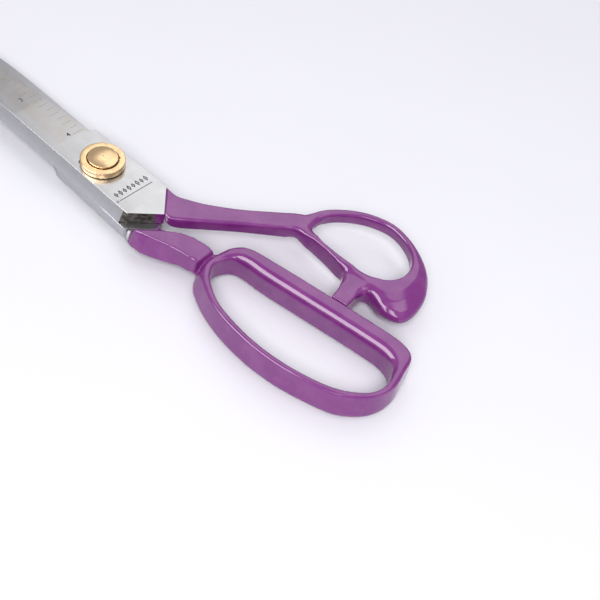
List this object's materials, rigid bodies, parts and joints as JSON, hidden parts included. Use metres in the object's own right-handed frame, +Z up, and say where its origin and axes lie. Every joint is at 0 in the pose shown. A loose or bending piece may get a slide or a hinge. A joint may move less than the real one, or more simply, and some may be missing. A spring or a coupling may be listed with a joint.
{
  "type": "tailor's shears",
  "caption": "Long closed shears with straight bevelled steel blades, a brass pivot and painted handles: a long finger bow, a smaller thumb bow and a stop lug between them.",
  "frame": {"origin": "on the pivot axis, at the end face of the pivot bolt, which is the plane the closed shears lie on", "axes": "+X from the tips towards the bows, +Y towards the thumb bow, +Z up along the pivot axis to the domed head"},
  "size_m": [0.2571, 0.0814, 0.0172],
  "materials": {
    "blade_steel": "satin, ground and brushed, with dark forged skin on the heel walls",
    "handle_paint": "gloss purple enamel",
    "brass": "turned satin brass",
    "spring_steel": "dark blued",
    "nut_steel": "bright"
  },
  "bodies": {
    "finger_half": {"finger_blade": "blade_steel", "finger_handle": "handle_paint", "pivot_bolt": "brass", "spring_washer": "spring_steel"},
    "thumb_half": {"thumb_blade": "blade_steel", "thumb_handle": "handle_paint", "pivot_collar": "brass", "tab_washer": "spring_steel"},
    "adjusting_nut": {"adjusting_nut": "nut_steel"}
  },
  "joints": [
    {"name": "pivot", "type": "hinge", "parent": "finger_half", "child": "thumb_half", "pos_m": [0, 0, 0.008], "axis": [0, 0, 1], "range_deg": [0, 60]},
    {"name": "nut_turn", "type": "hinge", "parent": "finger_half", "child": "adjusting_nut", "pos_m": [0, 0, 0.0013], "axis": [0, 0, 1], "range_deg": [-90, 90]}
  ]
}
